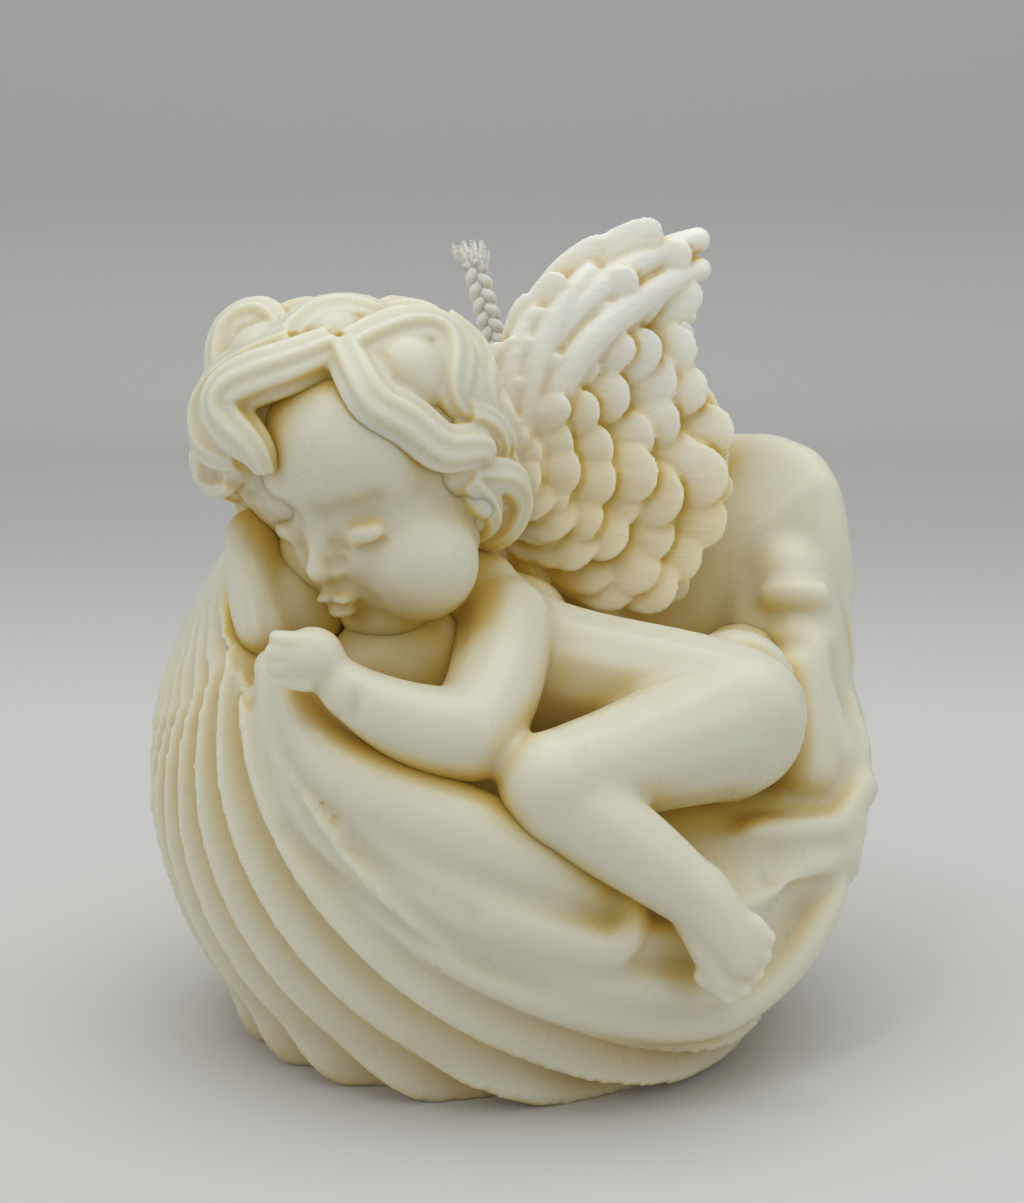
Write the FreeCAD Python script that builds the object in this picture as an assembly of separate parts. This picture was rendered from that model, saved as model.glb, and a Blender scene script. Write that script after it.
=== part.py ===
"""A cast-wax sleeping angel: a chubby cherub asleep on its front in the mouth of a ribbed shell.

Millimetres, +Z up. The origin is the centre of the flat underside, where the casting stands.
-Y is the front, the side the face, the near arm and the near leg are on. The head is towards -X.
The shell is a ball cut flat underneath and cut off above by a sloping cradle surface. The cherub lies on
that slope, a lip rises behind it on the right, and a braided wick runs up through the wax behind the wings.
"""

import FreeCAD, Part
from FreeCAD import Placement, Rotation, Vector
import math
import os

os.makedirs("parts", exist_ok=True)

# ---- Driving dimensions -------------------------------------------------------------------------

BALL_RADIUS = 39.5
BALL_CENTRE = Vector(0, 0, 30)

# The cradle the cherub lies on: z = CRADLE_HEIGHT + CRADLE_SLOPE_X * x + CRADLE_SLOPE_Y * y
CRADLE_HEIGHT = 47.5
CRADLE_SLOPE_X = -0.40
CRADLE_SLOPE_Y = 0.62

RIB_COUNT = 30
RIB_RADIUS = 2.4
RIB_STAND = 0.9  # how far a rib's crest stands out of the ball
RIB_POLE = Vector(-0.80, 0.10, 0.59)  # where the ribs meet, high on the left
RIB_START_ANGLE = 26
RIB_END_ANGLE = 152

LIP_THICKNESS = 4.6
LIP_TOP = 62.5
LIP_FROM_DEG = -22
LIP_SWEEP_DEG = 118

WICK_RADIUS = 1.3
WICK_FOOT = Vector(0.5, 17.0, 0)
WICK_BEND_RADIUS = 42.0
WICK_LEAN_DEG = 14
WICK_BEND_START = 62.0
WICK_TIP_RUN = 14.5

WING_THICKNESS = 1.7  # of one row of feathers
WING_ROWS = 3

FAR = 200.0  # larger than the object, for cutting blocks

made = {}


# ---- Building blocks ----------------------------------------------------------------------------


def ball(centre, radius):
    return Part.makeSphere(radius, Vector(*centre))


def capsule(start, start_radius, end, end_radius):
    """A tapered round limb: a sphere at each end and the cone that touches both, turned from one outline."""
    start, end = Vector(*start), Vector(*end)
    length = (end - start).Length
    slope = math.asin((start_radius - end_radius) / length)
    across, along = math.cos(slope), math.sin(slope)
    foot = Vector(0, 0, -start_radius)
    lower = Vector(start_radius * across, 0, start_radius * along)
    upper = Vector(end_radius * across, 0, length + end_radius * along)
    tip = Vector(0, 0, length + end_radius)
    low_turn = (-math.pi / 2 + slope) / 2
    foot_side = Vector(start_radius * math.cos(low_turn), 0, start_radius * math.sin(low_turn))
    high_turn = (math.pi / 2 + slope) / 2
    tip_side = Vector(end_radius * math.cos(high_turn), 0, length + end_radius * math.sin(high_turn))
    outline = Part.Wire(
        [
            Part.Arc(foot, foot_side, lower).toShape(),
            Part.makeLine(lower, upper),
            Part.Arc(upper, tip_side, tip).toShape(),
            Part.makeLine(tip, foot),
        ]
    )
    limb = Part.Face(outline).revolve(Vector(0, 0, 0), Vector(0, 0, 1), 360)
    limb.Placement = Placement(start, Rotation(Vector(0, 0, 1), end - start))
    return limb


def joined(shapes):
    whole = shapes[0].multiFuse(shapes[1:]) if len(shapes) > 1 else shapes[0]
    return whole.removeSplitter()


def keep(name, shape, clear_of=()):
    """Cuts away what the named neighbours already fill, drops slivers, and files the piece."""
    for other in clear_of:
        shape = shape.cut(made[other])
    solids = [solid for solid in shape.Solids if solid.Volume > 0.5]
    assert solids, name
    shape = solids[0] if len(solids) == 1 else Part.makeCompound(solids)
    made[name] = shape
    return shape


# ---- Shell body: the ball, flat below and cut off above by the cradle slope -----------------------

cradle_normal = Vector(-CRADLE_SLOPE_X, -CRADLE_SLOPE_Y, 1).normalize()
above_cradle = Part.makeBox(FAR, FAR, FAR, Vector(-FAR / 2, -FAR / 2, 0))
above_cradle.Placement = Placement(
    Vector(0, 0, CRADLE_HEIGHT), Rotation(Vector(0, 0, 1), cradle_normal)
)
below_floor = Part.makeBox(FAR, FAR, FAR, Vector(-FAR / 2, -FAR / 2, -FAR))

wick_bend_centre = Vector(WICK_FOOT.x - WICK_BEND_RADIUS, WICK_FOOT.y, WICK_BEND_START)


def on_wick_bend(degrees):
    turn = math.radians(degrees)
    return wick_bend_centre + Vector(math.cos(turn), 0, math.sin(turn)) * WICK_BEND_RADIUS


lean = math.radians(WICK_LEAN_DEG)
wick_bend_end = on_wick_bend(WICK_LEAN_DEG)
wick_tip = wick_bend_end + Vector(-math.sin(lean), 0, math.cos(lean)) * WICK_TIP_RUN
wick_path = Part.Wire(
    [
        Part.makeLine(WICK_FOOT, on_wick_bend(0)),
        Part.Arc(on_wick_bend(0), on_wick_bend(WICK_LEAN_DEG / 2), wick_bend_end).toShape(),
        Part.makeLine(wick_bend_end, wick_tip),
    ]
)
wick_section = Part.Wire([Part.makeCircle(WICK_RADIUS, WICK_FOOT, Vector(0, 0, 1))])
keep("wick", wick_path.makePipeShell([wick_section], True, True))

wick_channel = Part.makeCylinder(WICK_RADIUS, WICK_BEND_START, WICK_FOOT)
shell = ball(BALL_CENTRE, BALL_RADIUS).cut(above_cradle).cut(below_floor)
keep("shell_body", shell.cut(wick_channel))

# ---- Shell ribs: rounded ridges that run from pole to pole round the ball ------------------------

rib_pole = Vector(RIB_POLE).normalize()
rib_side = rib_pole.cross(Vector(0, 1, 0)).normalize()
rib_sweep = RIB_END_ANGLE - RIB_START_ANGLE
rib_circle_radius = BALL_RADIUS + RIB_STAND - RIB_RADIUS
ribs = []
for index in range(RIB_COUNT):
    turn = Rotation(rib_pole, 360.0 * index / RIB_COUNT)
    side = turn.multVec(rib_side)
    rib = Part.makeTorus(
        rib_circle_radius, RIB_RADIUS, Vector(0, 0, 0), Vector(0, 0, 1), -180, 180, rib_sweep
    )
    start = Rotation(Vector(0, 0, 1), RIB_START_ANGLE)
    # the torus lies in its own XY plane: +X goes to the pole and +Y to the side
    frame = Rotation(rib_pole, side, rib_pole.cross(side), "XYZ")
    rib.Placement = Placement(BALL_CENTRE, frame.multiply(start))
    rib = rib.cut(above_cradle).cut(below_floor).cut(ball(BALL_CENTRE, BALL_RADIUS))
    ribs += [solid for solid in rib.Solids if solid.Volume > 2.0]
made["shell_ribs"] = Part.makeCompound(ribs)

# ---- Shell lip: the wall that rises behind the cherub on the right -------------------------------

LIP_OUTER_FOOT, LIP_OUTER_WAIST, LIP_OUTER_TOP = (39.0, 24.0), (38.2, 47.0), (38.6, 58.0)
lip_outer = [LIP_OUTER_FOOT, LIP_OUTER_WAIST, LIP_OUTER_TOP]
lip_top = (LIP_OUTER_TOP[0] - LIP_THICKNESS / 2, LIP_TOP)


def upright(radius, height):
    return Vector(radius, 0, height)


lip_profile = Part.Wire(
    [
        Part.Arc(*[upright(r, z) for r, z in lip_outer]).toShape(),
        Part.Arc(
            upright(*lip_outer[2]),
            upright(*lip_top),
            upright(lip_outer[2][0] - LIP_THICKNESS, lip_outer[2][1]),
        ).toShape(),
        Part.Arc(*[upright(r - LIP_THICKNESS, z) for r, z in reversed(lip_outer)]).toShape(),
        Part.makeLine(upright(lip_outer[0][0] - LIP_THICKNESS, lip_outer[0][1]), upright(*lip_outer[0])),
    ]
)
lip_face = Part.Face(lip_profile)
lip_face.rotate(Vector(0, 0, 0), Vector(0, 0, 1), LIP_FROM_DEG)
lip = lip_face.revolve(Vector(0, 0, 0), Vector(0, 0, 1), LIP_SWEEP_DEG)
keep("shell_lip", lip, ["shell_body", "shell_ribs"])

# ---- Drape folds: thick soft folds along the front edge of the cradle, below the arm and the knee --

FOLDS = (
    # points the fold follows and its radius there
    (
        ((-23.5, -28.5, 42.5), 2.6),
        ((-14.0, -35.5, 35.0), 3.4),
        ((-2.0, -37.5, 27.5), 3.8),
        ((11.5, -36.0, 20.5), 3.2),
    ),
    (
        ((-26.0, -28.0, 35.0), 2.4),
        ((-14.5, -36.5, 25.5), 3.0),
        ((2.0, -38.2, 17.5), 3.0),
        ((18.0, -33.5, 12.5), 2.6),
    ),
)
folds = []
for fold in FOLDS:
    lengths = [capsule(*fold[i], *fold[i + 1]) for i in range(len(fold) - 1)]
    folds.append(joined(lengths))
keep("drape_folds", folds[0].fuse(folds[1]), ["shell_body", "shell_ribs"])

# ---- Cherub: torso, head and limbs -----------------------------------------------------------------

CHEST = ((3.0, -11.0, 44.5), 8.8)
HIPS = ((22.0, -13.0, 40.0), 9.2)
keep("torso", capsule(*CHEST, *HIPS), ["shell_body", "shell_lip", "shell_ribs"])

SKULL_CENTRE, SKULL_RADIUS = (-17.0, -11.5, 66.5), 13.4
FACE_CENTRE, FACE_RADIUS = (-14.0, -18.5, 56.8), 9.2
CHIN_CENTRE, CHIN_RADIUS = (-12.8, -20.5, 52.0), 4.0
NOSE_BRIDGE, NOSE_TIP = ((-18.6, -24.5, 61.0), 1.2), ((-18.9, -27.6, 57.0), 1.5)
head = joined(
    [
        ball(SKULL_CENTRE, SKULL_RADIUS),
        ball(FACE_CENTRE, FACE_RADIUS),
        ball(CHIN_CENTRE, CHIN_RADIUS),
        capsule(*NOSE_BRIDGE, *NOSE_TIP),
    ]
)
keep("head", head, ["torso", "shell_body"])
keep("neck", capsule((-9.0, -12.5, 53.0), 5.6, (0.0, -12.0, 46.5), 6.2), ["torso", "head", "shell_body"])

# Each curl is a short fat lobe on the skull, between two directions from the skull's centre.
CURL_REACH = 14.2
CURLS = (
    # (from azimuth, from height, to azimuth, to height, radius), angles in degrees about the skull
    (250, 62, 215, 30, 3.0),
    (262, 50, 300, 34, 2.9),
    (300, 58, 335, 26, 3.2),
    (330, 20, 342, -8, 3.0),
    (215, 24, 222, 4, 2.7),
    (190, 44, 182, 10, 3.2),
    (30, 40, 8, 6, 3.4),
    (75, 46, 62, 8, 3.4),
    (120, 44, 112, 6, 3.4),
    (160, 40, 152, 4, 3.3),
    (20, -12, 44, -26, 3.0),
    (84, -14, 100, -28, 3.2),
    (130, -14, 148, -26, 3.0),
    (0, 72, 180, 72, 3.2),
)


def from_skull(azimuth, height, reach):
    a, h = math.radians(azimuth), math.radians(height)
    out = Vector(math.cos(a) * math.cos(h), math.sin(a) * math.cos(h), math.sin(h))
    return Vector(*SKULL_CENTRE) + out * reach


hair = [
    capsule(from_skull(a0, h0, CURL_REACH), radius, from_skull(a1, h1, CURL_REACH), radius * 0.8)
    for a0, h0, a1, h1, radius in CURLS
]
keep("hair", joined(hair), ["head", "neck", "torso", "shell_body"])

LIMBS = (
    # name, start and its radius, end and its radius, and the pieces it is trimmed against
    ("left_upper_arm", ((1.5, -17.5, 48.5), 5.6), ((-3.6, -32.0, 40.2), 4.8), ["torso", "neck"]),
    ("left_forearm", ((-3.6, -32.0, 40.2), 4.8), ((-16.0, -32.4, 46.0), 3.3), ["left_upper_arm"]),
    ("left_thigh", ((23.0, -16.5, 38.6), 8.2), ((4.0, -33.4, 35.4), 5.2), ["torso", "left_upper_arm"]),
    ("left_calf", ((4.0, -33.4, 35.4), 5.2), ((17.6, -35.0, 26.0), 3.4), ["left_thigh"]),
    ("left_foot", ((17.6, -35.0, 26.0), 3.4), ((22.0, -34.6, 18.6), 2.6), ["left_calf"]),
    (
        "right_forearm", ((-12.0, 3.0, 51.0), 4.4), ((-27.0, -9.0, 57.0), 3.2),
        ["torso", "head", "neck", "hair"],
    ),
    (
        "right_hand", ((-27.4, -11.5, 56.0), 3.2), ((-26.2, -16.5, 49.8), 2.6),
        ["right_forearm", "head", "hair"],
    ),
    ("right_thigh", ((21.0, -6.5, 39.6), 7.4), ((27.0, 9.0, 42.0), 5.0), ["torso", "left_thigh"]),
    (
        "right_calf", ((27.0, 9.0, 42.0), 5.0), ((31.6, -5.0, 38.0), 3.6),
        ["right_thigh", "torso", "left_thigh"],
    ),
)
SETTING = ["shell_body", "shell_ribs", "shell_lip", "drape_folds"]
# a limb starts this much thinner than the limb it grows from, so their surfaces never coincide
JOINT_STEP = 0.35
for name, (start, start_radius), end, neighbours in LIMBS:
    keep(name, capsule(start, start_radius - JOINT_STEP, *end), SETTING + neighbours)

# The hand is a palm with four curled fingers side by side, knuckles to the left.
PALM = ((-17.8, -32.2, 47.2), 3.0)
KNUCKLE_TOP, KNUCKLE_STEP = Vector(-20.6, -33.4, 50.2), Vector(0.10, -0.15, -1.75)
FINGER_REACH, FINGER_RADIUS = Vector(-2.2, 1.2, -0.3), 0.95
fingers = []
for index in range(4):
    knuckle = KNUCKLE_TOP + KNUCKLE_STEP * index
    fingers.append(capsule(knuckle, FINGER_RADIUS, knuckle + FINGER_REACH, FINGER_RADIUS * 0.9))
hand = joined([capsule(*PALM, (-20.4, -32.4, 47.9), 3.2)] + fingers)
keep("left_hand", hand, SETTING + ["left_forearm", "head"])

# ---- Wings: rows of feathers laid on each other like tiles -----------------------------------------


def wing_row(root, tips, scallops):
    """One row of feathers: an outline from the root line to the tips, with a round lobe for each feather."""
    edges = []
    for a, b in zip(root[:-1], root[1:]):
        edges.append(Part.makeLine(Vector(*a), Vector(*b)))
    edges.append(Part.makeLine(Vector(*root[-1]), Vector(*tips[0])))
    for a, b in zip(tips[:-1], tips[1:]):
        a, b = Vector(*a), Vector(*b)
        across = b - a
        bulge = Vector(-across.y, across.x, 0).normalize() * (across.Length * scallops)
        edges.append(Part.Arc(a, (a + b) / 2 + bulge, b).toShape())
    edges.append(Part.makeLine(Vector(*tips[-1]), Vector(*root[0])))
    return Part.Face(Part.Wire(edges))


# Across and up from the wing's root, in the plane of the wing, for the longest row.
WING_LEADING_EDGE = ((0.0, 0.0), (-0.8, 13.0), (-1.3, 23.0), (1.6, 31.0), (7.0, 36.5))
WING_TIPS = (
    (19.6, 40.6), (19.9, 35.0), (20.8, 29.0), (23.6, 23.0), (26.0, 17.5), (26.2, 12.0), (23.2, 6.5),
    (20.6, 1.0), (14.5, -1.6),
    (8.0, -1.2),
)
WING_ROW_REACH = (1.0, 0.74, 0.48)  # how far each row reaches from the leading edge to the tips
WING_PLANE = {
    # root, and the angles that tip the wing back and turn it
    "left_wing": (Vector(0.5, -0.5, 48.3), -7, 0, 1.0),
    "right_wing": (Vector(1.5, 9.5, 48.5), -10, 14, 0.86),
}


def wing(root, tip_back, turn, scale):
    rows = []
    for row in range(WING_ROWS):
        reach = WING_ROW_REACH[row]
        edge = [Vector(x, y, 0) * scale for x, y in WING_LEADING_EDGE]
        tips = []
        for x, y in WING_TIPS:
            tip = Vector(x, y, 0) * scale
            along = max(0.0, min(1.0, y / WING_TIPS[0][1]))
            base = edge[0] + (edge[-1] - edge[0]) * along
            tips.append(base + (tip - base) * reach)
        plate = wing_row(edge, tips, 0.28).extrude(Vector(0, 0, WING_THICKNESS))
        plate.translate(Vector(0, 0, (row - WING_ROWS / 2) * WING_THICKNESS))
        rows.append(plate)
    whole = Part.makeCompound(rows)
    # stand the drawing plane upright, with its face to the front
    upright_turn = Rotation(Vector(1, 0, 0), 90)
    lean_back = Rotation(Vector(1, 0, 0), tip_back)
    swing = Rotation(Vector(0, 0, 1), turn)
    whole.Placement = Placement(root, swing.multiply(lean_back).multiply(upright_turn))
    return whole


for name, plane in WING_PLANE.items():
    clear = ["torso", "shell_body", "shell_lip", "hair", "neck", "wick"]
    if name == "right_wing":
        clear += ["left_wing", "right_thigh", "right_forearm"]
    keep(name, wing(*plane), clear)

# ---- Files ---------------------------------------------------------------------------------------

for name, shape in made.items():
    shape.exportStep(f"parts/{name}.step")
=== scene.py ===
"""Looks of a poured-wax candle: a chubby cherub asleep on its front in the mouth of a ribbed shell.

Metres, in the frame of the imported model: the origin is the middle of the flat underside, +Z is up and -Y is
the front. Sizes in each section are millimetres until a mesh is made from them.
"""
import math
import random

import bpy
import numpy as np
from mathutils import Matrix, Vector


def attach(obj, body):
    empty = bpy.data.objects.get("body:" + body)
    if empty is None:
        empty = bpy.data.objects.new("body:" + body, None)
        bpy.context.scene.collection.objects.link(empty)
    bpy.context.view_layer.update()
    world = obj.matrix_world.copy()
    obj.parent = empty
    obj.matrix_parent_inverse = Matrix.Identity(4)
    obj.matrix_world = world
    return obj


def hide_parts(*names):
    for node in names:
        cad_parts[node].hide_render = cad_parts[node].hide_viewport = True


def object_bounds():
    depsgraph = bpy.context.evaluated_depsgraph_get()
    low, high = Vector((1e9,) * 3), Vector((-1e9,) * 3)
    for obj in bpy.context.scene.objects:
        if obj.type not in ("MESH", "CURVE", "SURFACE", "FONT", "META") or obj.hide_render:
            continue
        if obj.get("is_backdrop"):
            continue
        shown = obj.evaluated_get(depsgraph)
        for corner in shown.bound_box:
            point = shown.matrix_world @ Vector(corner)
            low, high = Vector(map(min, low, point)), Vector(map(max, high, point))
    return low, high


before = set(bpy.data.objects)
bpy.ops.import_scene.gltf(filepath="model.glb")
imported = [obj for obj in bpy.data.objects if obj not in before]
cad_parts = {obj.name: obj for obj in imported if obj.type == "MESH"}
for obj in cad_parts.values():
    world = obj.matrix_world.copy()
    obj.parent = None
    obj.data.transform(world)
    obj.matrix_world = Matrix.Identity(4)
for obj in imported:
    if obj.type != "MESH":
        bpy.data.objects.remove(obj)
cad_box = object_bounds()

MM = 0.001

# ---- Floor, backdrop, light and camera ----------------------------------------------------------
# A pale paper sweep: the floor runs back and curves up into a wall, the far floor and the wall painted grey
# as shade. One wide soft lamp hangs over the candle, weak ones fill from the sides as in a light tent, and a
# small one puts a glint on the wax.


def only(*pieces):
    """Selects these pieces and no others, the last one active."""
    bpy.ops.object.select_all(action="DESELECT")
    for piece in pieces:
        piece.select_set(True)
    bpy.context.view_layer.objects.active = pieces[-1]


def linear(code):
    """The linear colour that a shader takes, from an sRGB hex code such as "E8E0CA"."""
    parts = [int(code[i:i + 2], 16) / 255 for i in (0, 2, 4)]
    return [c / 12.92 if c <= 0.04045 else ((c + 0.055) / 1.055) ** 2.4 for c in parts] + [1.0]


def blank_material(name):
    """A material with no nodes yet."""
    material = bpy.data.materials.new(name)
    material.use_nodes = True
    material.node_tree.nodes.clear()
    return material


def add(material, kind, values=(), feeds=(), **options):
    """Adds a node: options are its menus, values its own inputs, feeds the outputs run into its inputs."""
    node = material.node_tree.nodes.new(kind)
    for option, choice in options.items():
        setattr(node, option, choice)
    for socket, value in dict(values).items():
        node.inputs[socket].default_value = value
    for socket, source in dict(feeds).items():
        material.node_tree.links.new(source, node.inputs[socket])
    return node


FLOOR_BACK = 460  # how far behind the candle the floor meets the wall
SWEEP_RADIUS = 60
SWEEP_REACH = 900  # to each side, to the front and up
sweep_line = [(-SWEEP_REACH, 0)]
for angle in range(0, 91, 9):
    turn = math.radians(angle)
    back = FLOOR_BACK - SWEEP_RADIUS + SWEEP_RADIUS * math.sin(turn)
    sweep_line.append((back, SWEEP_RADIUS - SWEEP_RADIUS * math.cos(turn)))
sweep_line.append((FLOOR_BACK, SWEEP_REACH))
count = len(sweep_line)
sweep_mesh = bpy.data.meshes.new("paper_sweep")
sweep_mesh.from_pydata(
    [(side * SWEEP_REACH * MM, y * MM, z * MM) for side in (1, -1) for y, z in sweep_line],
    [],
    [(i, i + 1, count + i + 1, count + i) for i in range(count - 1)],
)
sweep = bpy.data.objects.new("paper_sweep", sweep_mesh)
bpy.context.collection.objects.link(sweep)
only(sweep)
bpy.ops.object.shade_smooth()
sweep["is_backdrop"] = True

# Matt background paper: no sheen, a faint cloudiness 120 mm across, and painted shade that greys it from 100
# mm back, standing in for the lamp's light falling off.
paper = blank_material("background_paper")
place = add(paper, "ShaderNodeTexCoord").outputs["Object"]
cloud = add(paper, "ShaderNodeTexNoise", {"Scale": 1 / 0.12, "Detail": 2.0}, {"Vector": place})
light_grey = add(paper, "ShaderNodeMix", {6: linear("CDCCCA"), 7: linear("D2D1CF")},
                 {0: cloud.outputs["Fac"]}, data_type="RGBA")
place_parts = add(paper, "ShaderNodeSeparateXYZ", (), {"Vector": place})
# painted shade: the paper turns greyer from 100 to 310 mm back
painted_falloff = add(paper, "ShaderNodeMapRange", {"From Min": 0.10, "From Max": 0.31},
               {"Value": place_parts.outputs["Y"]}, interpolation_type="SMOOTHSTEP")
shade = add(paper, "ShaderNodeMix", {7: linear("B9B8B6")},
            {0: painted_falloff.outputs[0], 6: light_grey.outputs[2]}, data_type="RGBA")
skin = add(paper, "ShaderNodeBsdfPrincipled", {"Roughness": 0.95, "Specular IOR Level": 0.1},
           {"Base Color": shade.outputs[2]})
add(paper, "ShaderNodeOutputMaterial", (), {"Surface": skin.outputs["BSDF"]})
sweep.data.materials.append(paper)

LENS = 89.8
CAMERA_DISTANCE = 330
CAMERA_HEIGHT_DEG = 12
TARGET = Vector((0, 0, 47.5)) * MM
back_off = math.radians(CAMERA_HEIGHT_DEG)
bpy.ops.object.camera_add(
    location=TARGET + Vector((0, -math.cos(back_off), math.sin(back_off))) * CAMERA_DISTANCE * MM,
    rotation=(math.radians(90 - CAMERA_HEIGHT_DEG), 0, 0),
)
camera = bpy.context.object
camera.data.lens = LENS
camera.data.clip_start = 0.01
bpy.context.scene.camera = camera

LAMPS = (
    # place and width in millimetres, and watts; each aims at the candle
    ((0, 30, 600), 820, 1.96),
    ((-640, -380, 360), 460, 0.45),
    ((560, -480, 330), 420, 0.35),
    ((-170, -260, 600), 80, 0.17),
)
for place, size, watts in LAMPS:
    place = Vector(place) * MM
    aim = (Vector((0, 0, 30)) * MM - place).to_track_quat("-Z", "Y").to_euler()
    bpy.ops.object.light_add(type="AREA", location=place, rotation=aim)
    lamp = bpy.context.object
    lamp.data.shape = "DISK"
    lamp.data.size = size * MM
    lamp.data.energy = watts

world = bpy.data.worlds.new("light_tent")
world.use_nodes = True
world.node_tree.nodes["Background"].inputs["Color"].default_value = linear("FAFCFF")
world.node_tree.nodes["Background"].inputs["Strength"].default_value = 0.57
bpy.context.scene.world = world
bpy.context.scene.view_settings.view_transform = "Standard"

# ---- Shell: the ribbed ball ---------------------------------------------------------------------
# The body of the casting: a ball with some three dozen ribs that run from a point high on the left to
# one low on the right, cut flat where it stood in the mould and scooped out on top for the cherub.


def wax(name, cream, honey, depth, clear, strands=0.0, warm=0.0):
    """Poured soy wax: cloudy, satin where the mould was smooth, and painted honey shade where it lies deep.

    Cream is its colour in the open, and honey the painted shade laid into hollows that are depth millimetres
    across. Light runs about clear millimetres through it. Strands is the height of the lines along feathers,
    and warm how much further a piece's colour runs towards the painted honey shade low down.
    """
    material = blank_material(name)
    place = add(material, "ShaderNodeTexCoord").outputs["Object"]
    # painted shade: where the surface lies less open, as in folds and hollows, its colour is painted further
    # towards honey
    open_sky = add(material, "ShaderNodeAmbientOcclusion", {"Distance": depth * MM}, samples=6)
    near_sky = add(material, "ShaderNodeAmbientOcclusion", {"Distance": depth * 0.28 * MM}, samples=6)
    painted_shade = add(material, "ShaderNodeMath", (), {0: open_sky.outputs["AO"], 1: near_sky.outputs["AO"]},
               operation="MULTIPLY")
    # cloudy patches about 9 mm across, as the wax sets
    cloud = add(material, "ShaderNodeTexNoise", {"Scale": 1 / (9 * MM), "Detail": 3.0}, {"Vector": place})
    drift = add(material, "ShaderNodeMath", {1: 0.16, 2: -0.08}, {0: cloud.outputs["Fac"]},
                operation="MULTIPLY_ADD")
    painted_shade_and_cloud = add(material, "ShaderNodeMath", (), {0: painted_shade.outputs[0], 1: drift.outputs[0]}, operation="ADD")
    # the paper below throws light back into the foot
    level = add(material, "ShaderNodeSeparateXYZ", (), {"Vector": place})
    foot = add(material, "ShaderNodeMapRange", {"From Max": 14 * MM, "To Min": 0.45, "To Max": 0.0},
               {"Value": level.outputs["Z"]})
    # painted shade: a wing's colour runs further towards the honey shade from 80 mm down to 58 mm high
    thick = add(material, "ShaderNodeMapRange", {"From Min": 58 * MM, "From Max": 80 * MM, "To Min": -warm,
                                                 "To Max": 0.0}, {"Value": level.outputs["Z"]})
    painted_shade_and_cloud = add(material, "ShaderNodeMath", (), {0: painted_shade_and_cloud.outputs[0], 1: foot.outputs[0]}, operation="ADD")
    painted_shade_and_cloud = add(material, "ShaderNodeMath", (), {0: painted_shade_and_cloud.outputs[0], 1: thick.outputs[0]}, operation="ADD")
    # painted shade: honey where the surface is shut in, cream where it lies open
    painted_shade_ramp = add(material, "ShaderNodeValToRGB", (), {"Fac": painted_shade_and_cloud.outputs[0]})
    painted_shade_ramp.color_ramp.interpolation = "EASE"
    painted_shade_ramp.color_ramp.elements[0].position = 0.16
    painted_shade_ramp.color_ramp.elements[0].color = linear(honey)
    painted_shade_ramp.color_ramp.elements[1].position = 0.97
    painted_shade_ramp.color_ramp.elements[1].color = linear(cream)
    # dust specks about 0.3 mm across, one every 12 mm or so
    dots = add(material, "ShaderNodeTexVoronoi", {"Scale": 1 / (12 * MM)}, {"Vector": place})
    speck = add(material, "ShaderNodeMath", {1: 0.013}, {0: dots.outputs["Distance"]},
                operation="LESS_THAN")
    speck_soft = add(material, "ShaderNodeMath", {1: 0.75}, {0: speck.outputs[0]}, operation="MULTIPLY")
    colour = add(material, "ShaderNodeMix", {7: linear("6B5C44")},
                 {0: speck_soft.outputs[0], 6: painted_shade_ramp.outputs["Color"]}, data_type="RGBA")
    # mould grain, and pits and rubbed spots that catch the light
    fine = add(material, "ShaderNodeTexNoise", {"Scale": 1 / (0.55 * MM), "Detail": 3.0}, {"Vector": place})
    broad = add(material, "ShaderNodeTexNoise", {"Scale": 1 / (3.2 * MM), "Detail": 4.0}, {"Vector": place})
    height = add(material, "ShaderNodeMath", {1: 0.22}, {0: fine.outputs["Fac"], 2: broad.outputs["Fac"]},
                 operation="MULTIPLY_ADD")
    # strands drawn out along the feathers, about 1 mm apart
    drawn = add(material, "ShaderNodeMapping", {"Scale": (0.14, 1.0, 0.9)}, {"Vector": place})
    strand = add(material, "ShaderNodeTexNoise", {"Scale": 1 / (0.9 * MM), "Detail": 2.0},
                 {"Vector": drawn.outputs["Vector"]})
    height = add(material, "ShaderNodeMath", {1: strands}, {0: strand.outputs["Fac"], 2: height.outputs[0]},
                 operation="MULTIPLY_ADD")
    bump = add(material, "ShaderNodeBump", {"Strength": 0.18, "Distance": 0.35 * MM},
               {"Height": height.outputs[0]})
    gloss = add(material, "ShaderNodeMapRange",
                {"From Min": 0.35, "From Max": 0.7, "To Min": 0.27, "To Max": 0.44},
                {"Value": broad.outputs["Fac"]})
    skin = add(
        material, "ShaderNodeBsdfPrincipled",
        {"IOR": 1.44, "Subsurface Weight": 0.9, "Subsurface Radius": (1.0, 0.82, 0.58),
         "Subsurface Scale": clear * MM, "Specular IOR Level": 0.5},
        {"Base Color": colour.outputs[2], "Roughness": gloss.outputs[0], "Normal": bump.outputs["Normal"]},
    )
    add(material, "ShaderNodeOutputMaterial", (), {"Surface": skin.outputs["BSDF"]})
    return material


# honey here is painted shade in the hollows of the casting
poured_wax = wax("poured_soy_wax", cream="D9D8C5", honey="D3B65B", depth=15, clear=3.0)


def points_of(piece):
    """A mesh's points in millimetres, as rows."""
    rows = np.empty(len(piece.data.vertices) * 3)
    piece.data.vertices.foreach_get("co", rows)
    return rows.reshape(-1, 3) / MM


def move_points(piece, rows):
    """Puts a mesh's points at these places in millimetres."""
    piece.data.vertices.foreach_set("co", (rows * MM).ravel())
    piece.data.update()


def ease(t):
    """0 below 0, 1 above 1, and a smooth step between."""
    t = np.clip(t, 0, 1)
    return t * t * (3 - 2 * t)


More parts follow.
